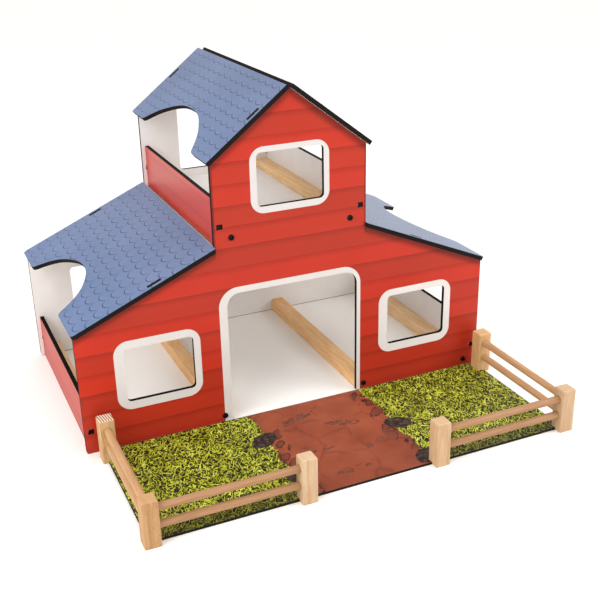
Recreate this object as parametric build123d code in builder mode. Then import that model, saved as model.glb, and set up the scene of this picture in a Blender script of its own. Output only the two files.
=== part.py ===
from build123d import *
import math
import os

os.makedirs("parts", exist_ok=True)

# Flat-pack toy barn of laminated fibreboard with a raised centre bay, and a loose
# fenced yard that stands in front of it.
# Frame: X across the front (left is negative), Y from the front (negative) to the
# back, Z up.  Z = 0 is the surface it all stands on, and X = Y = 0 is the middle of
# the barn and yard together.  Millimetres, real size.

# ---- boards and end panels -------------------------------------------------------
BOARD = 6.0            # thickness of every barn board
HALF_W = 300.0         # half the width of an end panel
TOWER_HALF = 109.0     # half the width of the raised centre bay
FRONT_Y = -53.0        # outer face of the front panel
BACK_Y = 275.0         # outer face of the back panel
FRONT_IN = FRONT_Y + BOARD
BACK_IN = BACK_Y - BOARD
MID_Y = (FRONT_Y + BACK_Y) / 2
ROOM_D = BACK_IN - FRONT_IN
FOOT_R = 3.5           # rounding of the panels' bottom corners

# ---- roof lines: top faces, as (half width, height) -------------------------------
LOW_EAVE = (303.6, 172.3)
LOW_INNER = (108.8, 256.0)
TOW_EAVE = (115.4, 367.9)
TOW_APEX = (0.0, 456.8)
RIDGE_GAP = 5.0        # each tower roof board stops this far from the centre line
OVERHANG = 5.5         # roof boards past the end panels, front and back
LOW_END = 109.2        # where a lower roof board is cut off beside the tower
EAVE_R = 6.0           # rounded eave corners of the lower roof boards

# ---- openings ---------------------------------------------------------------------
DOOR_HALF, DOOR_TOP, DOOR_R = 95.8, 187.35, 18.0
WIN_IN, WIN_OUT, WIN_Z0, WIN_Z1, WIN_R = 145.2, 239.4, 63.2, 138.8, 6.0
TWIN_HALF, TWIN_Z0, TWIN_Z1, TWIN_R = 47.1, 300.0, 371.0, 6.0
BWIN_HALF, BWIN_Z0, BWIN_Z1, BWIN_R = 49.1, 270.0, 371.0, 6.0

# ---- tabs and slots ----------------------------------------------------------------
ROOF_SLOT, ROOF_TAB = 20.0, 19.6     # length along the slope
SLOT_FIT = 0.2                       # slot clearance on each face of a tab
TAB_SHY = 0.2                        # a roof tab stops this far under the roof's face
LOW_SLOT_S = 123.3                   # slot centre, measured up the slope from the eave
TOW_SLOT_S = 85.2

# ---- side walls --------------------------------------------------------------------
WALL_OUT, WALL_H = 294.5, 66.5       # outer face of a lower side wall, and its height
WALL_TAB_Z = 32.0
TWALL_OUT, TWALL_Z0, TWALL_Z1 = 103.5, 249.0, 315.0
TWALL_TAB_Z = 281.6
TAB_H = 6.0

# ---- loft floor and timber beams ----------------------------------------------------
FLOOR_Z0 = 253.0
BEAM = 20.0
LOFT_BEAM_H = 12.5
INNER_BEAM_X = 106.8
OUTER_BEAM_X = 278.5
LOFT_BEAM_X = 87.5
SCREW_LOW_IN = (107.0, 9.2)
SCREW_LOW_OUT = (277.8, 9.8)
SCREW_LOFT = (85.3, 265.6)

# ---- screws --------------------------------------------------------------------------
HEAD_D, HEAD_H = 8.0, 2.2
SHANK_D, SHANK_L = 3.2, 26.0
CLEAR_D = 3.6
PILOT_L = 21.0

# ---- yard ------------------------------------------------------------------------------
YARD_X0, YARD_X1 = -279.2, 293.8
YARD_Y0, YARD_Y1 = -269.9, -57.6
YARD_T = 3.0
POST, POST_H = 20.0, 62.0
POST_XL, POST_XR = -276.3, 293.6
GATE_XL, GATE_XR = -82.4, 101.8
POST_YF, POST_YB = -270.5, -76.5
RAIL_D, RAIL_HOLE = 9.8, 10.4
RAIL_IN = 4.5                        # how far a rail goes into a post
RAIL_Z = (23.7, 47.0)

# ---- derived ------------------------------------------------------------------------------
LOW_RUN = LOW_EAVE[0] - LOW_INNER[0]
LOW_RISE = LOW_INNER[1] - LOW_EAVE[1]
LOW_A = math.atan2(LOW_RISE, LOW_RUN)
LOW_LEN = math.hypot(LOW_RUN, LOW_RISE)
TOW_RUN = TOW_EAVE[0] - TOW_APEX[0]
TOW_RISE = TOW_APEX[1] - TOW_EAVE[1]
TOW_A = math.atan2(TOW_RISE, TOW_RUN)
TOW_LEN = (TOW_RUN - RIDGE_GAP) / math.cos(TOW_A)
LOW_DROP = BOARD / math.cos(LOW_A)
TOW_DROP = BOARD / math.cos(TOW_A)


def under_low(x):
    """Height of a lower roof board's underside at half width x."""
    return LOW_EAVE[1] + (LOW_EAVE[0] - x) * math.tan(LOW_A) - LOW_DROP


def under_tow(x):
    """Height of a tower roof board's underside at half width x."""
    return TOW_EAVE[1] + (TOW_EAVE[0] - x) * math.tan(TOW_A) - TOW_DROP


OUTLINE = [
    (-HALF_W, 0),
    (-HALF_W, under_low(HALF_W)),
    (-TOWER_HALF, under_low(TOWER_HALF)),
    (-TOWER_HALF, under_tow(TOWER_HALF)),
    (0, under_tow(0)),
    (TOWER_HALF, under_tow(TOWER_HALF)),
    (TOWER_HALF, under_low(TOWER_HALF)),
    (HALF_W, under_low(HALF_W)),
    (HALF_W, 0),
]


def tab_spot(eave, angle, s, n):
    """Point (half width, height) s up a slope from its eave and n under its top face."""
    x = eave[0] - s * math.cos(angle) - n * math.sin(angle)
    z = eave[1] + s * math.sin(angle) - n * math.cos(angle)
    return x, z


ROOF_TAB_BOX = 7.8
LOW_TAB = tab_spot(LOW_EAVE, LOW_A, LOW_SLOT_S, TAB_SHY + ROOF_TAB_BOX / 2)
TOW_TAB = tab_spot(TOW_EAVE, TOW_A, TOW_SLOT_S, TAB_SHY + ROOF_TAB_BOX / 2)
SCREW_SPOTS = [
    (side * x, z)
    for side in (-1, 1)
    for x, z in (SCREW_LOW_IN, SCREW_LOW_OUT, SCREW_LOFT)
]

# ================================ end panels ===============================================
# front panel: doorway open at the foot, two lower windows, loft window
with BuildPart() as front_panel:
    with BuildSketch(Plane.XZ.offset(-FRONT_IN)) as front_face:
        with BuildLine() as front_line:
            Polyline(*OUTLINE, close=True)
        make_face()
        fillet(front_face.vertices().group_by(Axis.Y)[0], radius=FOOT_R)
        for side in (-1, 1):
            with Locations((side * LOW_TAB[0], LOW_TAB[1])):
                Rectangle(ROOF_TAB, ROOF_TAB_BOX, rotation=-side * math.degrees(LOW_A))
            with Locations((side * TOW_TAB[0], TOW_TAB[1])):
                Rectangle(ROOF_TAB, ROOF_TAB_BOX, rotation=-side * math.degrees(TOW_A))
    extrude(amount=BOARD)
    # doorway
    with BuildSketch(Plane.XZ.offset(-FRONT_IN)) as doorway:
        with Locations((0, DOOR_TOP / 2)):
            Rectangle(2 * DOOR_HALF, DOOR_TOP)
        fillet(doorway.vertices().group_by(Axis.Y)[-1], radius=DOOR_R)
    extrude(amount=BOARD, mode=Mode.SUBTRACT)
    with BuildSketch(Plane.XZ.offset(-FRONT_IN)) as front_holes:
        # lower windows
        with Locations(*[(s * (WIN_IN + WIN_OUT) / 2, (WIN_Z0 + WIN_Z1) / 2) for s in (-1, 1)]):
            RectangleRounded(WIN_OUT - WIN_IN, WIN_Z1 - WIN_Z0, WIN_R)
        # loft window
        with Locations((0, (TWIN_Z0 + TWIN_Z1) / 2)):
            RectangleRounded(2 * TWIN_HALF, TWIN_Z1 - TWIN_Z0, TWIN_R)
        # slots for the side walls' tabs
        with Locations(*[(s * (WALL_OUT - BOARD / 2), WALL_TAB_Z) for s in (-1, 1)]):
            Rectangle(8.0, 7.0)
        with Locations(*[(s * (TWALL_OUT - BOARD / 2), TWALL_TAB_Z) for s in (-1, 1)]):
            Rectangle(8.4, 6.9)
        # screw holes
        with Locations(*SCREW_SPOTS):
            Circle(CLEAR_D / 2)
    extrude(amount=BOARD, mode=Mode.SUBTRACT)
front_panel.part.label = "front_panel"
export_step(front_panel.part, "parts/front_panel.step")

# back panel: the same outline, closed behind the doorway, with a taller loft opening
with BuildPart() as back_panel:
    with BuildSketch(Plane.XZ.offset(-BACK_Y)) as back_face:
        with BuildLine() as back_line:
            Polyline(*OUTLINE, close=True)
        make_face()
        fillet(back_face.vertices().group_by(Axis.Y)[0], radius=FOOT_R)
        for side in (-1, 1):
            with Locations((side * LOW_TAB[0], LOW_TAB[1])):
                Rectangle(ROOF_TAB, ROOF_TAB_BOX, rotation=-side * math.degrees(LOW_A))
            with Locations((side * TOW_TAB[0], TOW_TAB[1])):
                Rectangle(ROOF_TAB, ROOF_TAB_BOX, rotation=-side * math.degrees(TOW_A))
    extrude(amount=BOARD)
    with BuildSketch(Plane.XZ.offset(-BACK_Y)) as back_holes:
        # lower windows
        with Locations(*[(s * (WIN_IN + WIN_OUT) / 2, (WIN_Z0 + WIN_Z1) / 2) for s in (-1, 1)]):
            RectangleRounded(WIN_OUT - WIN_IN, WIN_Z1 - WIN_Z0, WIN_R)
        # loft opening
        with Locations((0, (BWIN_Z0 + BWIN_Z1) / 2)):
            RectangleRounded(2 * BWIN_HALF, BWIN_Z1 - BWIN_Z0, BWIN_R)
        # slots for the side walls' tabs
        with Locations(*[(s * (WALL_OUT - BOARD / 2), WALL_TAB_Z) for s in (-1, 1)]):
            Rectangle(8.0, 7.0)
        with Locations(*[(s * (TWALL_OUT - BOARD / 2), TWALL_TAB_Z) for s in (-1, 1)]):
            Rectangle(8.4, 6.9)
        # screw holes
        with Locations(*SCREW_SPOTS):
            Circle(CLEAR_D / 2)
    extrude(amount=BOARD, mode=Mode.SUBTRACT)
back_panel.part.label = "back_panel"
export_step(back_panel.part, "parts/back_panel.step")

# ================================ side walls ===============================================
# low walls just inside the end panels' edges, with a tab at each end in the panels' slots
for side, name in ((-1, "left_wall"), (1, "right_wall")):
    with BuildPart() as side_wall:
        with BuildSketch(Plane.YZ.offset(side * (WALL_OUT - BOARD / 2))):
            with Locations((MID_Y, WALL_H / 2)):
                Rectangle(ROOM_D, WALL_H)
            with Locations((MID_Y, WALL_TAB_Z)):
                Rectangle(ROOM_D + 2 * (BOARD - 0.5), TAB_H)
        extrude(amount=BOARD / 2, both=True)
    side_wall.part.label = name
    export_step(side_wall.part, "parts/" + name + ".step")

# tower walls, standing just above the lower roof boards
for side, name in ((-1, "tower_left_wall"), (1, "tower_right_wall")):
    with BuildPart() as tower_wall:
        with BuildSketch(Plane.YZ.offset(side * (TWALL_OUT - BOARD / 2))):
            with Locations((MID_Y, (TWALL_Z0 + TWALL_Z1) / 2)):
                Rectangle(ROOM_D, TWALL_Z1 - TWALL_Z0)
            with Locations((MID_Y, TWALL_TAB_Z)):
                Rectangle(ROOM_D + 2 * (BOARD - 0.5), TAB_H)
        extrude(amount=BOARD / 2, both=True)
    tower_wall.part.label = name
    export_step(tower_wall.part, "parts/" + name + ".step")

# ================================ roof boards ==============================================
ROOF_Y0 = FRONT_Y - OVERHANG
ROOF_Y1 = BACK_Y + OVERHANG
# an arched access cut-out opens from each eave: centre along Y, rounding of its two points
# at the eave, and half its outline as (distance up the slope, half length along the eave)
LOW_CUT_Y, LOW_CUT_R = 114.0, 11.0
LOW_CUT = [(0, 92.8), (21.7, 82.0), (39.2, 67.0), (51.7, 47.0), (60.0, 26.0), (63.3, 0)]
TOW_CUT_Y, TOW_CUT_R = 112.2, 14.0
TOW_CUT = [(0, 110.8), (11.7, 99.6), (24.2, 85.0), (35.8, 65.0), (44.9, 44.5), (50.0, 23.5), (51.3, 0)]


def arch(half, cy):
    """Points of a whole cut-out, from one end at the eave over its top to the other."""
    return [(s, cy - y) for s, y in half] + [(s, cy + y) for s, y in half[-2::-1]]


for side, name in ((-1, "lower_left_roof"), (1, "lower_right_roof")):
    top = Plane(
        origin=(side * LOW_EAVE[0], 0, LOW_EAVE[1]),
        x_dir=(-side * math.cos(LOW_A), 0, math.sin(LOW_A)),
        z_dir=(side * math.sin(LOW_A), 0, math.cos(LOW_A)),
    )
    with BuildPart() as lower_roof:
        # board outline, seen along the slope: local x runs up it, local y along the eave
        with BuildSketch(top) as lower_face:
            with Locations((LOW_LEN / 2, -side * (ROOF_Y0 + ROOF_Y1) / 2)):
                Rectangle(LOW_LEN, ROOF_Y1 - ROOF_Y0)
            fillet(lower_face.vertices().group_by(Axis.X)[0], radius=EAVE_R)
        extrude(amount=-BOARD)
        # cut-out
        with BuildSketch(top) as lower_cut:
            with BuildLine() as lower_cut_line:
                points = arch(LOW_CUT, -side * LOW_CUT_Y)
                Spline(*points)
                Polyline(points[-1], (-3, points[-1][1]), (-3, points[0][1]), points[0])
            make_face()
        extrude(amount=-BOARD, mode=Mode.SUBTRACT)
        # slots for the end panels' tabs
        with BuildSketch(top) as lower_slots:
            with Locations(*[(LOW_SLOT_S, -side * y) for y in (FRONT_Y + BOARD / 2, BACK_Y - BOARD / 2)]):
                Rectangle(ROOF_SLOT, BOARD + 2 * SLOT_FIT)
        extrude(amount=-BOARD, mode=Mode.SUBTRACT)
        # plumb cut beside the tower
        with Locations((side * (LOW_END - 15), MID_Y, LOW_INNER[1])):
            Box(30, 400, 40, mode=Mode.SUBTRACT)
        # ease the cut-out's two points at the eave
        tips = (
            lower_roof.edges()
            .filter_by(lambda e: abs(e.length - BOARD) < 0.01)
            .filter_by(lambda e: abs(abs(e.center().X) - LOW_EAVE[0]) < 2.0)
            .filter_by(lambda e: abs(abs(e.center().Y - LOW_CUT_Y) - LOW_CUT[0][1]) < 2.0)
        )
        fillet(tips, radius=LOW_CUT_R)
    lower_roof.part.label = name
    export_step(lower_roof.part, "parts/" + name + ".step")

for side, name in ((-1, "tower_left_roof"), (1, "tower_right_roof")):
    top = Plane(
        origin=(side * TOW_EAVE[0], 0, TOW_EAVE[1]),
        x_dir=(-side * math.cos(TOW_A), 0, math.sin(TOW_A)),
        z_dir=(side * math.sin(TOW_A), 0, math.cos(TOW_A)),
    )
    with BuildPart() as tower_roof:
        with BuildSketch(top) as tower_face:
            with Locations((TOW_LEN / 2, -side * (ROOF_Y0 + ROOF_Y1) / 2)):
                Rectangle(TOW_LEN, ROOF_Y1 - ROOF_Y0)
        extrude(amount=-BOARD)
        # cut-out
        with BuildSketch(top) as tower_cut:
            with BuildLine() as tower_cut_line:
                points = arch(TOW_CUT, -side * TOW_CUT_Y)
                Spline(*points)
                Polyline(points[-1], (-3, points[-1][1]), (-3, points[0][1]), points[0])
            make_face()
        extrude(amount=-BOARD, mode=Mode.SUBTRACT)
        # slots for the end panels' tabs
        with BuildSketch(top) as tower_slots:
            with Locations(*[(TOW_SLOT_S, -side * y) for y in (FRONT_Y + BOARD / 2, BACK_Y - BOARD / 2)]):
                Rectangle(ROOF_SLOT, BOARD + 2 * SLOT_FIT)
        extrude(amount=-BOARD, mode=Mode.SUBTRACT)
        tips = (
            tower_roof.edges()
            .filter_by(lambda e: abs(e.length - BOARD) < 0.01)
            .filter_by(lambda e: abs(abs(e.center().X) - TOW_EAVE[0]) < 3.0)
            .filter_by(lambda e: abs(abs(e.center().Y - TOW_CUT_Y) - TOW_CUT[0][1]) < 2.0)
        )
        fillet(tips, radius=TOW_CUT_R)
    tower_roof.part.label = name
    export_step(tower_roof.part, "parts/" + name + ".step")

# ================================ loft floor ===============================================
with BuildPart() as loft_floor:
    with BuildSketch(Plane.XY.offset(FLOOR_Z0)):
        with Locations((0, MID_Y)):
            Rectangle(2 * (TWALL_OUT - BOARD), ROOM_D)
    extrude(amount=BOARD)
loft_floor.part.label = "loft_floor"
export_step(loft_floor.part, "parts/loft_floor.step")

# ================================ beams ====================================================
BEAMS = [
    ("beam_outer_left", -OUTER_BEAM_X, BEAM / 2, BEAM, -SCREW_LOW_OUT[0], SCREW_LOW_OUT[1]),
    ("beam_inner_left", -INNER_BEAM_X, BEAM / 2, BEAM, -SCREW_LOW_IN[0], SCREW_LOW_IN[1]),
    ("beam_inner_right", INNER_BEAM_X, BEAM / 2, BEAM, SCREW_LOW_IN[0], SCREW_LOW_IN[1]),
    ("beam_outer_right", OUTER_BEAM_X, BEAM / 2, BEAM, SCREW_LOW_OUT[0], SCREW_LOW_OUT[1]),
    ("loft_beam_left", -LOFT_BEAM_X, FLOOR_Z0 + BOARD + LOFT_BEAM_H / 2, LOFT_BEAM_H,
     -SCREW_LOFT[0], SCREW_LOFT[1]),
    ("loft_beam_right", LOFT_BEAM_X, FLOOR_Z0 + BOARD + LOFT_BEAM_H / 2, LOFT_BEAM_H,
     SCREW_LOFT[0], SCREW_LOFT[1]),
]
for name, bx, bz, bh, sx, sz in BEAMS:
    with BuildPart() as beam:
        with BuildSketch(Plane.XZ.offset(-BACK_IN)):
            with Locations((bx, bz)):
                Rectangle(BEAM, bh)
        extrude(amount=ROOM_D)
        fillet(beam.edges().filter_by(Axis.Y), radius=0.8)
        # pilot holes in both ends
        with BuildSketch(Plane.XZ.offset(-FRONT_IN)):
            with Locations((sx, sz)):
                Circle(CLEAR_D / 2)
        extrude(amount=-PILOT_L, mode=Mode.SUBTRACT)
        with BuildSketch(Plane.XZ.offset(-BACK_IN)):
            with Locations((sx, sz)):
                Circle(CLEAR_D / 2)
        extrude(amount=PILOT_L, mode=Mode.SUBTRACT)
    beam.part.label = name
    export_step(beam.part, "parts/" + name + ".step")

# ================================ screws ===================================================
# button heads with a hexagon socket, one group for each end panel
for face_y, out, name in ((FRONT_Y, -1, "front_screws"), (BACK_Y, 1, "back_screws")):
    with BuildPart() as screws:
        with BuildSketch(Plane.XZ.offset(-face_y)):
            with Locations(*SCREW_SPOTS):
                Circle(HEAD_D / 2)
        extrude(amount=-out * HEAD_H)
        rims = (
            screws.edges()
            .filter_by(GeomType.CIRCLE)
            .filter_by(lambda e: abs(e.center().Y - (face_y + out * HEAD_H)) < 0.01)
        )
        fillet(rims, radius=1.4)
        with BuildSketch(Plane.XZ.offset(-face_y)):
            with Locations(*SCREW_SPOTS):
                Circle(SHANK_D / 2)
        extrude(amount=out * SHANK_L)
        # sockets
        with BuildSketch(Plane.XZ.offset(-(face_y + out * HEAD_H))):
            with Locations(*SCREW_SPOTS):
                RegularPolygon(radius=2.0, side_count=6)
        extrude(amount=out * 1.3, mode=Mode.SUBTRACT)
    screws.part.label = name
    export_step(screws.part, "parts/" + name + ".step")

# ================================ yard =====================================================
with BuildPart() as yard_board:
    with BuildSketch(Plane.XY):
        with Locations(((YARD_X0 + YARD_X1) / 2, (YARD_Y0 + YARD_Y1) / 2)):
            Rectangle(YARD_X1 - YARD_X0, YARD_Y1 - YARD_Y0)
    extrude(amount=YARD_T)
yard_board.part.label = "yard_board"
export_step(yard_board.part, "parts/yard_board.step")

# posts stand half on the board and half on the ground, notched over its edge; each is
# (name, x, y, directions in which rails leave it)
POSTS = [
    ("post_back_left", POST_XL, POST_YB, [(0, -1)]),
    ("post_front_left", POST_XL, POST_YF, [(0, 1), (1, 0)]),
    ("post_gate_left", GATE_XL, POST_YF, [(-1, 0)]),
    ("post_gate_right", GATE_XR, POST_YF, [(1, 0)]),
    ("post_front_right", POST_XR, POST_YF, [(0, 1), (-1, 0)]),
    ("post_back_right", POST_XR, POST_YB, [(0, -1)]),
]
for name, px, py, ways in POSTS:
    with BuildPart() as post:
        with BuildSketch(Plane.XY):
            with Locations((px, py)):
                RectangleRounded(POST, POST, 1.6)
        extrude(amount=POST_H)
        fillet(post.faces().sort_by(Axis.Z)[-1].edges(), radius=2.4)
        fillet(post.faces().sort_by(Axis.Z)[0].edges(), radius=1.3)
        # notch over the yard board
        with BuildSketch(Plane.XY):
            with Locations(((YARD_X0 + YARD_X1) / 2, (YARD_Y0 + YARD_Y1) / 2)):
                Rectangle(YARD_X1 - YARD_X0, YARD_Y1 - YARD_Y0)
        extrude(amount=YARD_T, mode=Mode.SUBTRACT)
        # sockets for the rails
        for wx, wy in ways:
            socket = Plane(
                origin=(px + wx * POST / 2, py + wy * POST / 2, 0),
                x_dir=(-wy, wx, 0),
                z_dir=(wx, wy, 0),
            )
            with BuildSketch(socket):
                with Locations(*[(0, z) for z in RAIL_Z]):
                    Circle(RAIL_HOLE / 2)
            extrude(amount=-RAIL_IN, mode=Mode.SUBTRACT)
    post.part.label = name
    export_step(post.part, "parts/" + name + ".step")

# rails: round dowels, an upper and a lower one in each span
REACH = POST / 2 - RAIL_IN
SPANS = [
    ("rail_left", (POST_XL, POST_YF + REACH), (POST_XL, POST_YB - REACH)),
    ("rail_front_left", (POST_XL + REACH, POST_YF), (GATE_XL - REACH, POST_YF)),
    ("rail_front_right", (GATE_XR + REACH, POST_YF), (POST_XR - REACH, POST_YF)),
    ("rail_right", (POST_XR, POST_YF + REACH), (POST_XR, POST_YB - REACH)),
]
for span, start, end in SPANS:
    length = math.hypot(end[0] - start[0], end[1] - start[1])
    way = ((end[0] - start[0]) / length, (end[1] - start[1]) / length)
    for z, level in zip(RAIL_Z, ("lower", "upper")):
        name = span + "_" + level
        with BuildPart() as rail:
            with BuildSketch(Plane(origin=(start[0], start[1], z), x_dir=(-way[1], way[0], 0),
                                   z_dir=(way[0], way[1], 0))):
                Circle(RAIL_D / 2)
            extrude(amount=length)
        rail.part.label = name
        export_step(rail.part, "parts/" + name + ".step")
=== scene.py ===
import bpy
import math
from mathutils import Matrix, Vector


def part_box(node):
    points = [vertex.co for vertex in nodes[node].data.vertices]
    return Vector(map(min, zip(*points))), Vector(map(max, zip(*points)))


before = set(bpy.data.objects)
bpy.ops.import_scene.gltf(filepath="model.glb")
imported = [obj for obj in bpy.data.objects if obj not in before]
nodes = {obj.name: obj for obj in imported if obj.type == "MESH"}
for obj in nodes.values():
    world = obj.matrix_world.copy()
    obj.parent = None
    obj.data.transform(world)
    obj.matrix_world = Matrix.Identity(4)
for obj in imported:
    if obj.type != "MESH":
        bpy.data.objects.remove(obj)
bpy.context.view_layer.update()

# ------------------------------------------------------------------ dimensions, metres
FRONT_Y, BACK_Y = -0.053, 0.275
LOW_EAVE, LOW_INNER = (0.3036, 0.1723), (0.1088, 0.2560)
TOW_EAVE, TOW_APEX = (0.1154, 0.3679), (0.0, 0.4568)
LOW_A = math.atan2(LOW_INNER[1] - LOW_EAVE[1], LOW_EAVE[0] - LOW_INNER[0])
TOW_A = math.atan2(TOW_APEX[1] - TOW_EAVE[1], TOW_EAVE[0] - TOW_APEX[0])
PLANK = 0.028


def lin(r, g, b):
    """Linear colour of a display colour given as 0 to 255."""
    def one(v):
        v /= 255
        return v / 12.92 if v <= 0.04045 else ((v + 0.055) / 1.055) ** 2.4
    return (one(r), one(g), one(b), 1.0)


# ------------------------------------------------------------------ node building
class Look:
    """A material and short calls that add nodes to it. Lengths are millimetres."""

    def __init__(self, name):
        self.m = bpy.data.materials.new(name)
        self.m.use_nodes = True
        self.t = self.m.node_tree
        self.t.nodes.clear()
        self.out = self.t.nodes.new("ShaderNodeOutputMaterial")
        self.p = self.t.nodes.new("ShaderNodeBsdfPrincipled")
        self.t.links.new(self.p.outputs[0], self.out.inputs["Surface"])
        self.tc = self.t.nodes.new("ShaderNodeTexCoord")
        self.mm = self.vec("SCALE", self.tc.outputs["Object"], s=1000.0)
        self.x, self.y, self.z = self.split(self.mm)
        self.n = self.tc.outputs["Normal"]
        self.nx, self.ny, self.nz = self.split(self.n)

    def link(self, value, socket):
        if isinstance(value, bpy.types.NodeSocket):
            self.t.links.new(value, socket)
        elif value is not None:
            socket.default_value = value

    def f(self, kind, a, b=None, c=None, clamp=False):
        n = self.t.nodes.new("ShaderNodeMath")
        n.operation = kind
        n.use_clamp = clamp
        for value, socket in zip((a, b, c), n.inputs):
            self.link(value, socket)
        return n.outputs[0]

    def vec(self, kind, a, b=None, s=None):
        n = self.t.nodes.new("ShaderNodeVectorMath")
        n.operation = kind
        self.link(a, n.inputs[0])
        if b is not None:
            self.link(b, n.inputs[1])
        if s is not None:
            self.link(s, n.inputs["Scale"])
        return n.outputs["Value"] if kind in ("DOT_PRODUCT", "LENGTH", "DISTANCE") else n.outputs[0]

    def split(self, v):
        n = self.t.nodes.new("ShaderNodeSeparateXYZ")
        self.link(v, n.inputs[0])
        return n.outputs

    def xyz(self, x=0.0, y=0.0, z=0.0):
        n = self.t.nodes.new("ShaderNodeCombineXYZ")
        for value, socket in zip((x, y, z), n.inputs):
            self.link(value, socket)
        return n.outputs[0]

    def add(self, a, b): return self.f("ADD", a, b)
    def sub(self, a, b): return self.f("SUBTRACT", a, b)
    def mul(self, a, b): return self.f("MULTIPLY", a, b)
    def div(self, a, b): return self.f("DIVIDE", a, b)
    def mad(self, a, b, c): return self.f("MULTIPLY_ADD", a, b, c)
    def floor(self, a): return self.f("FLOOR", a)
    def frac(self, a): return self.f("FRACT", a)
    def absf(self, a): return self.f("ABSOLUTE", a)
    def minf(self, a, b): return self.f("MINIMUM", a, b)
    def maxf(self, a, b): return self.f("MAXIMUM", a, b)
    def inv(self, a): return self.f("SUBTRACT", 1.0, a)

    def step(self, a, low, high, to_low=0.0, to_high=1.0):
        """Smooth step of a from low to high, between to_low and to_high."""
        n = self.t.nodes.new("ShaderNodeMapRange")
        n.interpolation_type = "SMOOTHSTEP"
        for value, socket in zip((a, low, high, to_low, to_high), n.inputs):
            self.link(value, socket)
        return n.outputs[0]

    def line(self, a, low, high, to_low=0.0, to_high=1.0):
        n = self.t.nodes.new("ShaderNodeMapRange")
        for value, socket in zip((a, low, high, to_low, to_high), n.inputs):
            self.link(value, socket)
        return n.outputs[0]

    def noise(self, at, scale, detail=2.0, rough=0.5, warp=0.0):
        n = self.t.nodes.new("ShaderNodeTexNoise")
        self.link(at, n.inputs["Vector"])
        n.inputs["Scale"].default_value = scale
        n.inputs["Detail"].default_value = detail
        n.inputs["Roughness"].default_value = rough
        n.inputs["Distortion"].default_value = warp
        return n.outputs["Fac"]

    def noise_colour(self, at, scale, detail=2.0):
        n = self.t.nodes.new("ShaderNodeTexNoise")
        self.link(at, n.inputs["Vector"])
        n.inputs["Scale"].default_value = scale
        n.inputs["Detail"].default_value = detail
        return n.outputs["Color"]

    def cells(self, at, scale, feature="F1", rand=1.0, what="Distance"):
        n = self.t.nodes.new("ShaderNodeTexVoronoi")
        n.feature = feature
        self.link(at, n.inputs["Vector"])
        n.inputs["Scale"].default_value = scale
        n.inputs["Randomness"].default_value = rand
        return n.outputs[what]

    def white(self, at):
        n = self.t.nodes.new("ShaderNodeTexWhiteNoise")
        n.noise_dimensions = "3D"
        self.link(at, n.inputs["Vector"])
        return n.outputs["Value"]

    def white_colour(self, at):
        n = self.t.nodes.new("ShaderNodeTexWhiteNoise")
        n.noise_dimensions = "3D"
        self.link(at, n.inputs["Vector"])
        return n.outputs["Color"]

    def mix(self, share, a, b, kind="MIX"):
        n = self.t.nodes.new("ShaderNodeMix")
        n.data_type = "RGBA"
        n.blend_type = kind
        self.link(share, n.inputs[0])
        self.link(a, n.inputs[6])
        self.link(b, n.inputs[7])
        return n.outputs[2]

    def ramp(self, value, stops, kind="LINEAR"):
        n = self.t.nodes.new("ShaderNodeValToRGB")
        n.color_ramp.interpolation = kind
        e = n.color_ramp.elements
        while len(e) < len(stops):
            e.new(0.5)
        for item, (at, colour) in zip(e, stops):
            item.position = at
            item.color = colour
        self.link(value, n.inputs[0])
        return n.outputs[0]

    def tone(self, colour, by):
        """Colour with its brightness multiplied by a number or a socket."""
        n = self.t.nodes.new("ShaderNodeVectorMath")
        n.operation = "SCALE"
        self.link(colour if isinstance(colour, bpy.types.NodeSocket) else colour[:3], n.inputs[0])
        self.link(by, n.inputs["Scale"])
        return n.outputs[0]

    def bump(self, height, distance, strength=1.0, after=None):
        n = self.t.nodes.new("ShaderNodeBump")
        n.inputs["Strength"].default_value = strength
        n.inputs["Distance"].default_value = distance
        self.link(height, n.inputs["Height"])
        if after is not None:
            self.link(after, n.inputs["Normal"])
        return n.outputs[0]

    def finish(self, colour, rough, normal=None, specular=0.5, coat=0.0, coat_rough=0.1):
        self.link(colour, self.p.inputs["Base Color"])
        self.link(rough, self.p.inputs["Roughness"])
        if normal is not None:
            self.link(normal, self.p.inputs["Normal"])
        self.p.inputs["Specular IOR Level"].default_value = specular
        self.p.inputs["Coat Weight"].default_value = coat
        self.p.inputs["Coat Roughness"].default_value = coat_rough
        return self.m

    # ---- shapes
    def rounded(self, u, v, u0, u1, v0, v1, r):
        """Signed distance in mm to a rounded rectangle, negative inside."""
        du = self.sub(self.absf(self.sub(u, (u0 + u1) / 2)), (u1 - u0) / 2 - r)
        dv = self.sub(self.absf(self.sub(v, (v0 + v1) / 2)), (v1 - v0) / 2 - r)
        a = self.maxf(du, 0.0)
        b = self.maxf(dv, 0.0)
        far = self.f("SQRT", self.add(self.mul(a, a), self.mul(b, b)))
        near = self.minf(self.maxf(du, dv), 0.0)
        return self.sub(self.add(far, near), r)


# ------------------------------------------------------------------ board surfaces
def cut_edge(k):
    """Laser-cut fibreboard edge: near black, faintly brown and streaked through its thickness."""
    streak = k.noise(k.xyz(k.mul(k.x, 0.5), k.mul(k.y, 0.5), k.mul(k.z, 0.5)), 1.0, 3.0, 0.6)
    return k.ramp(streak, [(0.3, lin(8, 5, 4)), (0.55, lin(15, 10, 8)), (0.8, lin(30, 20, 16))])


def white_face(k):
    """White melamine with the faintest mottle."""
    m = k.noise(k.mm, 0.03, 2.0)
    return k.ramp(m, [(0.3, lin(230, 225, 222)), (0.7, lin(235, 231, 228))])


def board_grain(k):
    """Fine satin texture of the printed or laminated face, as a height."""
    return k.noise(k.mm, 1.6, 2.0, 0.6)


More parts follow.
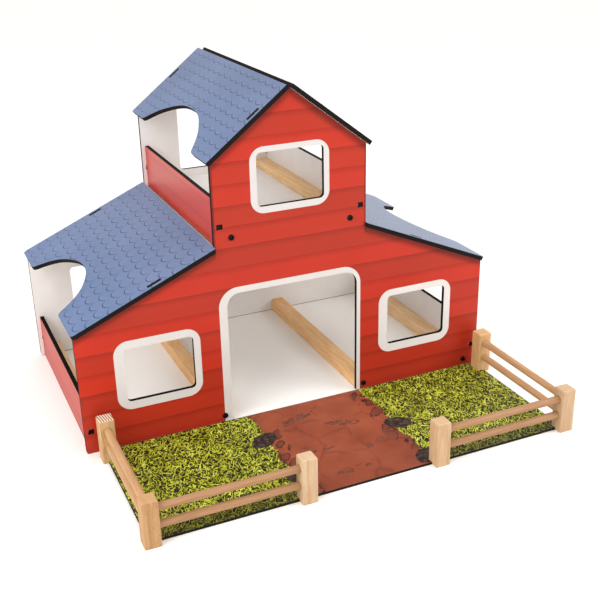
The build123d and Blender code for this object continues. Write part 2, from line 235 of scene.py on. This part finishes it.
def clapboard(k, u, h, shift=0.0, contrast=1.0):
    """Red printed boarding: u along the boards, h up the wall, in mm. The lower edge of each
    board is a thin dark line, and it shades the top of the board below it."""
    sway = k.sub(k.noise(k.xyz(k.mul(u, 0.012), k.mul(h, 0.012), shift), 1.0, 1.0), 0.5)
    nick = k.sub(k.noise(k.xyz(k.mul(u, 0.07), k.mul(h, 0.036), shift + 4.0), 1.0, 2.0), 0.5)
    t = k.div(k.add(h, k.add(k.mul(sway, 2.4), k.mul(nick, 1.3))), 28.0)
    row = k.floor(t)
    t = k.frac(t)
    # darker and lighter boards in turn, with a little chance, and a slow change along each
    turn = k.sub(k.mul(k.f("MODULO", k.absf(row), 2.0), 2.0), 1.0)
    chance = k.sub(k.white(k.xyz(row, shift, 3.0)), 0.5)
    light = k.add(0.5, k.mul(k.add(k.mul(turn, 0.20), k.mul(chance, 0.50)), contrast))
    tint = k.mix(light, (0.375, 0.0285, 0.0125, 1.0), (0.500, 0.0285, 0.0125, 1.0))
    patch = k.noise(k.xyz(k.mul(u, 0.009), row, shift), 1.0, 1.0)
    tint = k.tone(tint, k.line(patch, 0.3, 0.7, 0.965, 1.035))
    # shade under the board above, then the line where the two meet
    fall = k.mul(k.step(t, 0.66, 0.975, 1.0, 0.80), k.step(t, 0.945, 0.985, 1.0, 0.90))
    lip = k.step(t, 0.0, 0.028, 0.84, 1.0)
    glow = k.step(t, 0.03, 0.35, 1.02, 1.0)
    tone = k.add(1.0 - contrast, k.mul(k.mul(glow, k.mul(fall, lip)), contrast))
    # streaks of paint along the boards
    streak = k.noise(k.xyz(k.mul(u, 0.018), k.mul(h, 0.30), row), 1.0, 4.0, 0.6)
    tone = k.mul(tone, k.add(0.965, k.mul(streak, 0.07)))
    # painted shade: darker at the very foot of the wall, where the ground shades it
    tone = k.mul(tone, k.step(h, 0.0, 12.0, 0.86, 1.0))
    return k.tone(tint, tone)


def painted_eave_shadow(k, u, h):
    """Painted shadow on an end panel: a soft dark band close under the roofs, standing in for the shade their
    overhangs cast.
    """
    side = k.absf(u)
    low = k.sub(k.sub(LOW_EAVE[1] * 1000 + LOW_EAVE[0] * 1000 * math.tan(LOW_A) - 10.0 / math.cos(LOW_A),
                      k.mul(side, math.tan(LOW_A))), h)
    tow = k.sub(k.sub(TOW_EAVE[1] * 1000 + TOW_EAVE[0] * 1000 * math.tan(TOW_A) - 10.0 / math.cos(TOW_A),
                      k.mul(side, math.tan(TOW_A))), h)
    low = k.add(k.mul(low, math.cos(LOW_A)), k.step(side, 106.0, 107.0, 500.0, 0.0))
    near = k.minf(low, k.mul(tow, math.cos(TOW_A)))
    return k.step(near, -1.0, 9.0, 0.50, 1.0)


def faces(k, out_dot):
    """Shares of the printed face and of the inner face, from the outward normal's dot."""
    return k.step(out_dot, 0.8, 0.9), k.step(out_dot, -0.9, -0.8, 1.0, 0.0)


def board_look(name, kind, side=1):
    k = Look(name)
    if kind in ("front", "back"):
        out = k.mul(k.ny, -1.0 if kind == "front" else 1.0)
        u, h = k.x, k.z
    else:
        out = k.mul(k.nx, float(side))
        u, h = k.y, k.z
    outer, inner = faces(k, out)
    red = clapboard(k, u, h, {"front": 0.0, "back": 7.0, "low": 3.0, "tower": 5.0}[kind] + side,
                    1.0 if kind in ("front", "back") else 0.6)
    if kind in ("front", "back"):
        trims = [
            k.rounded(u, h, -107.2, 101.4, -60.0, 195.9, 27.0),
            k.rounded(u, h, -252.3, -135.7, 51.5, 150.1, 20.0),
            k.rounded(u, h, 131.1, 249.9, 50.8, 148.6, 20.0),
            k.rounded(u, h, -56.3, 54.9, 291.0, 378.4, 19.0),
        ]
        if kind == "back":
            trims = [
                k.rounded(u, h, -251.1, -133.5, 51.2, 150.6, 20.0),
                k.rounded(u, h, 133.5, 251.1, 51.2, 150.6, 20.0),
                k.rounded(u, h, -58.5, 58.5, 260.6, 380.0, 15.0),
            ]
        d = trims[0]
        for other in trims[1:]:
            d = k.minf(d, other)
        trim = k.step(d, -0.35, 0.35, 1.0, 0.0)
        pale = k.ramp(k.noise(k.mm, 0.02, 2.0), [(0.3, lin(209, 203, 200)), (0.7, lin(214, 208, 205))])
        if kind == "front":
            # painted light: the front trims darker up at the loft and lighter towards the right, as the light falls
            # on them
            pale = k.tone(pale, k.mul(k.line(h, 240.0, 290.0, 1.0, 0.94), k.line(u, 70.0, 170.0, 1.0, 1.11)))
        # painted shadow: a soft dark band under the roof overhangs, over boards and trims alike
        red = k.tone(k.mix(trim, red, pale), painted_eave_shadow(k, u, h))
    elif kind == "tower":
        red = k.mix(k.step(h, 250.2, 250.8, 1.0, 0.0), red, lin(238, 228, 222))
    inside = white_face(k)
    if kind != "tower":
        # painted contact shadow: a thin dark line at the foot of the inner face, where the board meets the floor
        inside = k.mix(k.step(h, 0.5, 1.0, 1.0, 0.0), inside, lin(40, 32, 28))
    colour = k.mix(inner, k.mix(outer, cut_edge(k), red), inside)
    face = k.add(outer, inner)
    rough = k.line(face, 0.0, 1.0, 0.95, 0.30)
    grain = k.mul(board_grain(k), k.line(face, 0.0, 1.0, 1.0, 0.35))
    return k.finish(colour, rough, k.bump(grain, 0.00005, 0.5),
                    specular={"low": 0.08, "tower": 0.27}.get(kind, 0.20))


def roof_look(name, side, eave, angle, row0, row, pitch0, pitch, arms, even=0.0, depth=1.0,
              strength=0.97):
    """Printed scale shingles: each scale is a thin drawn arc that bulges towards the eave, with
    one arm steeper than the other. arms is (mean slope, difference, curl at the ends)."""
    k = Look(name)
    c, s = math.cos(angle), math.sin(angle)
    out = k.vec("DOT_PRODUCT", k.n, (side * s, 0.0, c))
    top, under = faces(k, out)
    up = k.add(k.mul(k.sub(eave[0] * 1000, k.mul(k.x, float(side))), c), k.mul(k.sub(k.z, eave[1] * 1000), s))
    cloud = k.noise(k.mm, 0.011, 3.0, 0.55)
    blue = k.ramp(cloud, [(0.30, lin(78, 99, 140)), (0.52, lin(85, 105, 146)), (0.75, lin(93, 112, 152))])
    t = k.sub(k.div(k.sub(up, row0), row), -0.24)
    r = k.floor(t)
    w = k.sub(k.div(k.sub(k.y, pitch0), pitch), k.mul(k.f("MODULO", k.absf(k.add(r, even)), 2.0), 0.5))
    j = k.floor(k.add(w, 0.5))
    c0, c1, c2 = k.split(k.white_colour(k.xyz(r, j, 1.7 * side + row)))
    dv = k.add(k.mul(k.sub(w, j), pitch), k.mul(k.sub(c0, 0.5), 1.4))
    du = k.add(k.mul(k.sub(k.sub(t, 0.24), r), row), k.mul(k.sub(c1, 0.5), 1.0))
    soft = k.f("SQRT", k.add(k.mul(dv, dv), 6.5))
    lean = k.mul(k.sub(c2, 0.5), 0.12)
    square = k.mul(dv, dv)
    bow = k.add(k.mul(k.sub(soft, 2.55), arms[0]), k.mul(dv, k.add(lean, arms[1])))
    bow = k.add(bow, k.mul(k.mul(square, square), arms[2]))
    slope = k.add(k.mul(k.div(dv, soft), arms[0]), arms[1])
    slope = k.add(slope, k.mul(k.mul(square, dv), 4.0 * arms[2]))
    d = k.div(k.absf(k.sub(du, bow)), k.f("SQRT", k.add(1.0, k.mul(slope, slope))))
    reach = k.absf(k.add(dv, 4.0 * arms[1]))
    width = k.step(reach, 1.0, 13.0, 0.80, 0.44)
    ink = k.step(d, k.mul(width, 0.60), k.add(width, 0.14), 1.0, 0.0)
    ink = k.mul(ink, k.step(reach, 8.0, 14.0, 1.0, 0.30))
    ink = k.mul(ink, k.add(0.84, k.mul(c1, 0.16)))
    gap = k.sub(bow, du)
    shade = k.mul(k.step(gap, 0.0, 3.0, 1.0, 0.0), k.step(gap, -0.2, 0.1))
    shade = k.mul(shade, k.step(reach, 5.0, 12.0, 1.0, 0.0))
    body = k.mul(k.step(gap, -6.0, -0.8, 0.0, 1.0), k.step(gap, -0.8, -0.2, 1.0, 0.0))
    body = k.mul(body, k.step(reach, 3.0, 10.0, 1.0, 0.0))
    each = k.add(0.97, k.mul(c2, 0.06))
    blue = k.tone(blue, k.mul(each, k.add(k.sub(depth, k.mul(shade, 0.06)), k.mul(body, 0.08))))
    # a little greyer and warmer towards the top of the slope
    drift = k.line(up, 30.0, 190.0)
    blue = k.vec("MULTIPLY", blue, k.mix(drift, (1.03, 1.04, 1.0, 1.0), (1.11, 0.99, 0.92, 1.0)))
    blue = k.mix(k.mul(ink, strength), blue, lin(4, 12, 74))
    # streaks
    fine = k.noise(k.xyz(k.mul(k.y, 0.25), k.mul(up, 0.9), 2.0), 1.0, 3.0, 0.6)
    blue = k.tone(blue, k.add(0.965, k.mul(fine, 0.07)))
    colour = k.mix(under, k.mix(top, cut_edge(k), blue), white_face(k))
    face = k.add(top, under)
    rough = k.line(face, 0.0, 1.0, 0.95, 0.30)
    grain = k.mul(board_grain(k), k.line(face, 0.0, 1.0, 1.0, 0.30))
    return k.finish(colour, rough, k.bump(grain, 0.00004, 0.4), specular=0.28)


def white_look(name):
    k = Look(name)
    out = k.absf(k.nz)
    face = k.step(out, 0.8, 0.9)
    colour = k.mix(face, cut_edge(k), white_face(k))
    rough = k.line(face, 0.0, 1.0, 0.8, 0.36)
    return k.finish(colour, rough, k.bump(board_grain(k), 0.00005, 0.3), specular=0.25)


# ------------------------------------------------------------------ timber
def timber_look(name, axis, centre, pale, mid, dark, seed=0.0, rings=0.3, tilt=(0.0, 0.0),
                stripes=0.0, streak=0.0, knots=0.0, rough=0.55, fleck=0.0, lines=0.35):
    """Planed timber. axis is the grain's direction, centre a point on the piece's axis in mm.
    Growth rings are shells about a far pith line, so faces show long lines and ends show arcs."""
    k = Look(name)
    rel = k.vec("SUBTRACT", k.mm, tuple(centre))
    a, b, c = k.split(rel)
    if axis == 0:
        along, p, q, end = a, b, c, k.absf(k.nx)
    elif axis == 1:
        along, p, q, end = b, a, c, k.absf(k.ny)
    else:
        along, p, q, end = c, a, b, k.absf(k.nz)
    # slow wander of the grain along the piece
    wander = k.noise(k.xyz(k.mul(along, 0.014), k.mul(p, 0.03), k.add(k.mul(q, 0.03), seed)), 1.0, 2.0)
    wander = k.mul(k.sub(wander, 0.5), 13.0)
    px = k.add(k.add(p, 29.0 + 9.0 * math.sin(seed * 3.1)), k.add(k.mul(along, tilt[0]), wander))
    qx = k.add(k.add(q, 21.0 + 11.0 * math.cos(seed * 2.3)), k.add(k.mul(along, tilt[1]), k.mul(wander, 0.45)))
    radius = k.f("SQRT", k.add(k.mul(px, px), k.mul(qx, qx)))
    wob = k.noise(k.xyz(k.mul(along, 0.03), k.mul(p, 0.14), k.mul(q, 0.14)), 1.0, 3.0, 0.6)
    ring = k.add(k.mul(radius, rings), k.mul(wob, 1.2))
    saw = k.frac(ring)
    # slow lighter wood, then a darker late-wood line; few years stand out
    late = k.mul(k.step(saw, 0.30, 0.88), k.step(saw, 0.88, 1.0, 1.0, 0.0))
    year = k.white(k.xyz(k.floor(ring), seed, 4.0))
    late = k.mul(late, k.add(0.25, k.mul(year, 0.75)))
    fibres = k.noise(k.xyz(k.mul(along, 0.04), k.mul(p, 1.1), k.mul(q, 1.1)), 1.0, 3.0, 0.6)
    broad = k.noise(k.xyz(k.mul(along, 0.022), k.mul(p, 0.10), k.add(k.mul(q, 0.10), seed * 2.0)), 1.0, 3.0, 0.55)
    base = k.mix(k.step(broad, 0.32, 0.66), mid, pale)
    colour = k.mix(k.mul(late, lines), base, dark)
    colour = k.tone(colour, k.add(0.92, k.mul(fibres, 0.16)))
    if streak:
        # one resin-coloured line running along the piece
        off = k.absf(k.sub(k.add(p, k.mul(q, 0.35)), k.add(-6.5, k.mul(k.sub(wob, 0.5), 7.0))))
        line = k.maxf(k.step(off, 1.2, 3.4, 0.62, 0.0), k.step(off, 0.4, 1.2, 1.0, 0.0))
        colour = k.mix(k.mul(line, streak), colour, k.tone(dark, 1.15))
    if knots:
        # small brown specks in a loose patch
        spot = k.cells(k.xyz(k.mul(along, 0.26), k.mul(p, 0.42), k.mul(q, 0.42)), 1.0)
        where = k.noise(k.xyz(k.mul(along, 0.05), k.mul(p, 0.05), seed + 9.0), 1.0, 1.0)
        colour = k.mix(k.mul(k.step(spot, 0.10, 0.30, 1.0, 0.0), k.mul(k.step(where, 0.46, 0.56), knots)),
                       colour, k.tone(dark, 0.7))
    if fleck:
        # short dark pores along the grain
        spot = k.cells(k.xyz(k.mul(along, 0.11), k.mul(p, 0.95), k.mul(q, 0.95)), 1.0)
        colour = k.mix(k.mul(k.step(spot, 0.06, 0.26, 1.0, 0.0), fleck), colour, k.tone(dark, 0.6))
    # sawn ends, a little paler, with faint arcs, or with plain stripes where a post has them
    cut = k.step(end, 0.55, 0.85)
    pores = k.noise(k.xyz(k.mul(p, 2.2), k.mul(q, 2.2), k.mul(along, 0.2)), 1.0, 3.0, 0.6)
    end_colour = k.tone(k.mix(0.60, colour, pale), 1.05)
    if stripes:
        bar = k.frac(k.mul(k.add(p, k.mul(q, 0.15)), 0.31))
        bar = k.mul(k.step(bar, 0.24, 0.42), k.step(bar, 0.72, 0.90, 1.0, 0.0))
        end_colour = k.mix(k.mul(bar, stripes), k.mix(0.8, pale, lin(242, 222, 208)), k.tone(dark, 0.55))
    end_colour = k.tone(end_colour, k.add(0.93, k.mul(pores, 0.16)))
    colour = k.mix(cut, colour, end_colour)
    height = k.add(k.mul(fibres, 0.6), k.mul(late, -0.3))
    return k.finish(colour, k.add(rough, k.mul(fibres, 0.12)), k.bump(height, 0.00010, 0.5), specular=0.3)


# ------------------------------------------------------------------ yard print
def yard_look(name):
    """Printed ground: grass of short bent strands, and an earth path with soft cobble lines,
    small stones in drifts, larger stones and low dark bushes along its sides."""
    k = Look(name)
    face = k.step(k.nz, 0.8, 0.9)
    flat = k.vec("MULTIPLY", k.mm, (1.0, 1.0, 0.0))
    bend = k.noise_colour(flat, 0.075, 2.0)
    b0, b1, b2 = k.split(bend)

    def strands(turn, across, along, seed, thin):
        """Level lines of noise stretched along one direction: short worm-like strokes."""
        cs, sn = math.cos(turn), math.sin(turn)
        u = k.add(k.add(k.mul(k.x, cs), k.mul(k.y, sn)), k.mul(b0, 9.0))
        v = k.add(k.add(k.mul(k.x, -sn), k.mul(k.y, cs)), k.mul(b1, 9.0))
        n = k.noise(k.xyz(k.div(u, along), k.div(v, across), seed), 1.0, 0.0)
        stroke = k.step(k.absf(k.sub(n, 0.5)), thin * 0.45, thin, 1.0, 0.0)
        gap = k.noise(k.xyz(k.div(u, along * 0.7), k.div(v, across * 1.5), seed + 5.0), 1.0, 0.0)
        return k.mul(stroke, k.step(gap, 0.33, 0.46))

    s1 = strands(1.05, 4.7, 10.5, 1.0, 0.070)
    s2 = strands(1.85, 4.4, 10.0, 12.0, 0.064)
    s3 = strands(0.40, 4.6, 9.5, 23.0, 0.056)
    patch = k.noise(flat, 0.03, 3.0, 0.6)
    fine = k.noise(flat, 0.55, 2.0, 0.6)
    lit = k.maxf(s1, k.maxf(k.mul(s2, 0.86), k.mul(s3, 0.66)))
    lit = k.mul(lit, k.mul(k.line(patch, 0.3, 0.7, 0.74, 1.08), k.line(fine, 0.3, 0.7, 0.82, 1.10)))
    grass = k.ramp(lit, [
        (0.0, lin(26, 23, 7)), (0.22, lin(50, 46, 12)), (0.50, lin(114, 116, 24)),
        (0.78, lin(174, 181, 42)), (1.0, lin(214, 220, 92)),
    ])
    # painted shadow: darker towards the front edge, where the fence rails shade the grass
    grass = k.tone(grass, k.step(k.add(k.y, k.mul(b2, 20.0)), -258.0, -216.0, 0.47, 1.0))
    # earth path between wandering sides
    wl = k.noise(k.xyz(k.mul(k.y, 0.020), 4.0, 0.0), 1.0, 2.0)
    wr = k.noise(k.xyz(k.mul(k.y, 0.020), 9.0, 0.0), 1.0, 2.0)
    rag = k.mul(k.sub(k.noise(flat, 0.10, 3.0, 0.6), 0.5), 12.0)
    left = k.sub(k.x, k.add(-92.0, k.mul(wl, 34.0)))
    right = k.sub(k.add(80.0, k.mul(wr, 34.0)), k.x)
    side = k.minf(left, right)
    inside = k.add(side, rag)
    path = k.step(inside, -0.5, 0.5)
    ground = k.noise(flat, 0.018, 4.0, 0.55)
    earth = k.ramp(ground, [(0.28, lin(128, 59, 38)), (0.5, lin(146, 72, 47)), (0.75, lin(158, 83, 56))])
    warp = k.vec("ADD", flat, k.vec("MULTIPLY", k.noise_colour(flat, 0.022, 2.0), (46.0, 46.0, 0.0)))
    seam = k.cells(warp, 0.0150, "DISTANCE_TO_EDGE")
    seam = k.mul(k.step(seam, 0.002, 0.060, 1.0, 0.0), k.step(k.noise(flat, 0.03, 1.0), 0.38, 0.56))
    thin = k.cells(warp, 0.0150, "DISTANCE_TO_EDGE")
    thin = k.mul(k.step(thin, 0.002, 0.016, 1.0, 0.0), k.step(k.noise(flat, 0.045, 1.0), 0.42, 0.56))
    earth = k.mix(k.maxf(k.mul(seam, 0.34), k.mul(thin, 0.34)), earth, lin(84, 32, 22))
    # painted light and shade: the path darker towards the front and lighter towards the barn
    earth = k.tone(earth, k.line(k.y, -262.0, -70.0, 0.89, 1.15))

    def blob(cx, cy, rx, ry, turn):
        """Distance inside an ellipse, in mm and roughly; negative outside."""
        cs, sn = math.cos(turn), math.sin(turn)
        dx, dy = k.sub(k.x, cx), k.sub(k.y, cy)
        u = k.div(k.add(k.mul(dx, cs), k.mul(dy, sn)), rx)
        v = k.div(k.add(k.mul(dx, -sn), k.mul(dy, cs)), ry)
        return k.mul(k.sub(1.0, k.f("SQRT", k.add(k.mul(u, u), k.mul(v, v)))), min(rx, ry))

    def joined(parts):
        d = parts[0]
        for other in parts[1:]:
            d = k.maxf(d, other)
        return d

    shift = k.vec("ADD", flat, k.vec("MULTIPLY", k.noise_colour(flat, 0.09, 2.0), (9.0, 9.0, 0.0)))

    def stones(wide, deep, turn, fill, edge):
        """Rounded stones: fill colour, outline colour, and the share of ground they cover."""
        cs, sn = math.cos(turn), math.sin(turn)
        sx, sy, _ = k.split(shift)
        u = k.div(k.add(k.mul(sx, cs), k.mul(sy, sn)), wide)
        v = k.div(k.add(k.mul(sx, -sn), k.mul(sy, cs)), deep)
        at = k.xyz(u, v, 0.0)
        d = k.cells(at, 1.0, rand=0.75)
        pick, other, _ = k.split(k.cells(at, 1.0, rand=0.75, what="Color"))
        size = k.add(0.42, k.mul(pick, 0.16))
        cover = k.step(k.sub(d, size), -0.04, 0.04, 1.0, 0.0)
        rim = k.step(k.absf(k.sub(d, k.sub(size, 0.02))), 0.02, 0.075, 1.0, 0.0)
        body = k.tone(fill, k.add(0.85, k.mul(other, 0.35)))
        return k.mix(rim, body, edge), cover

    # drifts of small stones across the path
    drift = joined([blob(-22.0, -96.0, 34.0, 7.5, 0.30), blob(34.0, -132.0, 26.0, 7.0, -0.35),
                    blob(-30.0, -176.0, 27.0, 8.0, -0.20), blob(52.0, -196.0, 24.0, 7.0, 0.25),
                    blob(0.0, -238.0, 30.0, 6.0, 0.10)])
    small, small_cover = stones(12.5, 7.5, 0.4, lin(116, 68, 50), lin(72, 34, 25))
    earth = k.mix(k.mul(small_cover, k.step(k.add(drift, k.mul(rag, 0.4)), -0.5, 0.5)), earth, small)
    # larger stones along both sides
    big, big_cover = stones(27.0, 16.0, 0.9, lin(112, 58, 42), lin(52, 25, 19))
    run = k.noise(k.xyz(k.mul(k.y, 0.019), k.mul(k.f("SIGN", k.x), 7.0), 3.0), 1.0, 1.0)
    band = k.mul(k.step(inside, 19.0, 23.0, 1.0, 0.0), k.step(run, 0.36, 0.42))
    earth = k.mix(k.mul(band, big_cover), earth, big)
    earth = k.tone(earth, k.step(inside, 0.0, 16.0, 0.80, 1.0))
    colour = k.mix(path, grass, earth)
    # low bushes of small leaves
    bush = joined([blob(-80.0, -128.0, 21.0, 14.0, 0.6), blob(102.0, -164.0, 19.0, 14.0, -0.4),
                   blob(92.0, -252.0, 18.0, 12.0, 0.9), blob(-72.0, -226.0, 18.0, 12.0, -0.3)])
    bush = k.step(k.add(bush, k.mul(rag, 0.55)), -0.8, 0.8)
    leaf = k.cells(shift, 0.23)
    tuft, _, _ = k.split(k.cells(shift, 0.23, what="Color"))
    leaves = k.ramp(k.add(leaf, k.mul(k.sub(tuft, 0.5), 0.34)), [
        (0.02, lin(96, 82, 66)), (0.26, lin(74, 58, 48)), (0.48, lin(50, 37, 32)), (0.8, lin(30, 21, 19)),
    ])
    colour = k.mix(bush, colour, leaves)
    # unprinted dark rim, cut edge and bare underside
    rim = k.minf(k.minf(k.add(k.x, 279.2), k.sub(293.8, k.x)), k.minf(k.add(k.y, 269.9), k.sub(-57.6, k.y)))
    colour = k.mix(k.step(rim, 0.3, 0.9, 1.0, 0.0), colour, lin(24, 19, 14))
    under = k.step(k.nz, -0.9, -0.8, 1.0, 0.0)
    back = k.ramp(k.noise(k.mm, 0.4, 4.0, 0.7), [(0.35, lin(112, 82, 56)), (0.7, lin(140, 106, 76))])
    colour = k.mix(under, k.mix(face, cut_edge(k), colour), back)
    rough = k.line(face, 0.0, 1.0, 0.85, 0.55)
    return k.finish(colour, rough, k.bump(k.noise(k.mm, 1.2, 2.0), 0.00005, 0.5), specular=0.25)


def steel_look(name):
    k = Look(name)
    wear = k.noise(k.mm, 0.9, 3.0, 0.6)
    colour = k.ramp(wear, [(0.3, lin(5, 5, 5)), (0.6, lin(9, 8, 8)), (0.85, lin(22, 21, 20))])
    k.p.inputs["Metallic"].default_value = 0.35
    return k.finish(colour, k.add(0.34, k.mul(wear, 0.25)), k.bump(wear, 0.00004, 0.5), specular=0.25)


# ------------------------------------------------------------------ give every node its look
def wear_it(node, material):
    mesh = nodes[node].data
    mesh.materials.clear()
    mesh.materials.append(material)


wear_it("front_panel", board_look("print_front", "front"))
wear_it("back_panel", board_look("print_back", "back"))
wear_it("left_wall", board_look("print_left_wall", "low", -1))
wear_it("right_wall", board_look("print_right_wall", "low", 1))
wear_it("tower_left_wall", board_look("print_tower_left", "tower", -1))
wear_it("tower_right_wall", board_look("print_tower_right", "tower", 1))
for side, name in ((-1, "left"), (1, "right")):
    wear_it("lower_" + name + "_roof",
            roof_look("scales_lower_" + name, side, LOW_EAVE, LOW_A, 6.7, 15.9, -32.0, 24.2,
                      (0.41, -0.14, 0.00020), 1.0))
    wear_it("tower_" + name + "_roof",
            roof_look("scales_tower_" + name, side, TOW_EAVE, TOW_A, 8.5, 15.0, -35.0, 21.9,
                      (0.375, 0.125, 0.00008), depth=0.88, strength=0.85))
wear_it("loft_floor", white_look("white_laminate"))
steel = steel_look("blackened_steel")
wear_it("front_screws", steel)
wear_it("back_screws", steel)
wear_it("yard_board", yard_look("yard_print"))

PINE = ((0.560, 0.372, 0.196), (0.500, 0.305, 0.144), (0.360, 0.172, 0.062))
BEECH = ((0.500, 0.305, 0.180), (0.440, 0.256, 0.142), (0.320, 0.160, 0.082))


def tinted(palette, r, g, b):
    return [(c[0] * r, c[1] * g, c[2] * b, 1.0) for c in palette]


POST_WOOD = {
    "post_back_left": dict(tint=(1.04, 1.02, 0.95), stripes=1.0, lines=0.85, rings=0.33),
    "post_front_left": dict(tint=(0.88, 0.79, 0.70), streak=0.55, knots=0.75, lines=0.38, rings=0.20),
    "post_gate_left": dict(tint=(1.06, 1.16, 1.42), streak=0.60, lines=0.30, rings=0.14),
    "post_gate_right": dict(tint=(1.02, 1.05, 1.16), lines=0.34, rings=0.30),
    "post_front_right": dict(tint=(0.96, 1.00, 1.16), lines=0.30, rings=0.24),
    "post_back_right": dict(tint=(1.12, 1.04, 0.92), lines=0.40, rings=0.34),
}
for i, name in enumerate(sorted(POST_WOOD)):
    lo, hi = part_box(name)
    mid = [(a + b) * 500 for a, b in zip(lo, hi)]
    how = dict(POST_WOOD[name])
    wear_it(name, timber_look("pine_" + name, 2, mid, *tinted(PINE, *how.pop("tint")), seed=1.0 + i * 1.37,
                              tilt=(0.05 * math.sin(i * 2.1), 0.07 * math.cos(i * 1.3)), **how))
for i, name in enumerate(sorted(n for n in nodes if n.startswith("rail_"))):
    lo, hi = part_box(name)
    size = [b - a for a, b in zip(lo, hi)]
    mid = [(a + b) * 500 for a, b in zip(lo, hi)]
    tint = (0.80, 0.72, 0.60) if "front" in name else (1.04, 0.98, 0.80)
    wear_it(name, timber_look("beech_" + name, size.index(max(size)), mid, *tinted(BEECH, *tint),
                              seed=20.0 + i * 1.7, rings=0.20, fleck=0.34, rough=0.5, lines=0.40))
for i, name in enumerate(sorted(n for n in nodes if "beam" in n)):
    lo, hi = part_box(name)
    mid = [(a + b) * 500 for a, b in zip(lo, hi)]
    # painted light: the beams take the post pine made much paler, loft and outer beams palest, standing in for the
    # light inside the barn
    tint = (1.48, 1.38, 1.28)
    if name.startswith("loft"):
        tint = (1.62, 1.68, 1.75)
    elif "outer" in name:
        tint = (1.62, 1.72, 1.95)
    wear_it(name, timber_look("pine_" + name, 1, mid, *tinted(PINE, *tint), seed=40.0 + i * 1.9, rings=0.16,
                              tilt=(0.03, 0.02), lines=0.34))

# ------------------------------------------------------------------ floor
floor_mesh = bpy.data.meshes.new("floor")
R = 14.0
verts = [(0.0, 0.0, 0.0)] + [(R * math.cos(i * math.pi / 24), R * math.sin(i * math.pi / 24), 0.0) for i in range(48)]
floor_mesh.from_pydata(verts, [], [(0, 1 + i, 1 + (i + 1) % 48) for i in range(48)])
floor = bpy.data.objects.new("floor", floor_mesh)
bpy.context.scene.collection.objects.link(floor)
fl = Look("floor_paper")
paper = fl.ramp(fl.noise(fl.mm, 0.004, 2.0), [(0.3, lin(249, 246, 242)), (0.7, lin(251, 248, 244))])
floor_mesh.materials.append(fl.finish(paper, 0.9, specular=0.0))

# ------------------------------------------------------------------ light
scene = bpy.context.scene
world = bpy.data.worlds.new("studio")
scene.world = world
world.use_nodes = True
bg = world.node_tree.nodes["Background"]
bg.inputs["Color"].default_value = (1.0, 1.0, 1.0, 1.0)
bg.inputs["Strength"].default_value = 1.08


def area(name, at, aim, size, power, colour=(1, 1, 1)):
    data = bpy.data.lights.new(name, "AREA")
    data.shape = "RECTANGLE"
    data.size, data.size_y = size
    data.energy = power
    data.color = colour
    o = bpy.data.objects.new(name, data)
    scene.collection.objects.link(o)
    o.location = at
    o.rotation_euler = (Vector(aim) - Vector(at)).to_track_quat("-Z", "Y").to_euler()
    return o


area("left_box", (-1.46, -0.843, 1.564), (0.0, 0.0, 0.15), (1.0, 1.0), 17.0)
area("left_low", (-2.06, -0.44, 0.89), (0.0, 0.05, 0.22), (1.0, 1.0), 8.0)
area("right_box", (1.35, -1.05, 1.05), (0.1, 0.0, 0.15), (0.9, 0.9), 11.0)

scene.view_settings.view_transform = "Standard"
scene.view_settings.look = "None"
scene.view_settings.exposure = 0.0
scene.view_settings.gamma = 1.0

# ------------------------------------------------------------------ camera
cam_data = bpy.data.cameras.new("camera")
cam = bpy.data.objects.new("camera", cam_data)
scene.collection.objects.link(cam)
right = Vector((0.9121, -0.4094, -0.0209)).normalized()
fwd = Vector((0.3673, 0.8389, -0.4016)).normalized()
right = (right - fwd * right.dot(fwd)).normalized()
up = right.cross(fwd)
rot = Matrix((right, up, -fwd)).transposed()
cam.matrix_world = Matrix.Translation(Vector((-0.4755, -1.1541, 0.6802))) @ rot.to_4x4()
cam_data.sensor_width = 36.0
cam_data.lens = 36.0 * 963.3 / 600.0
cam_data.shift_x = 0.0026
cam_data.shift_y = 0.0081
cam_data.dof.use_dof = False
cam_data.clip_end = 50.0
scene.camera = cam
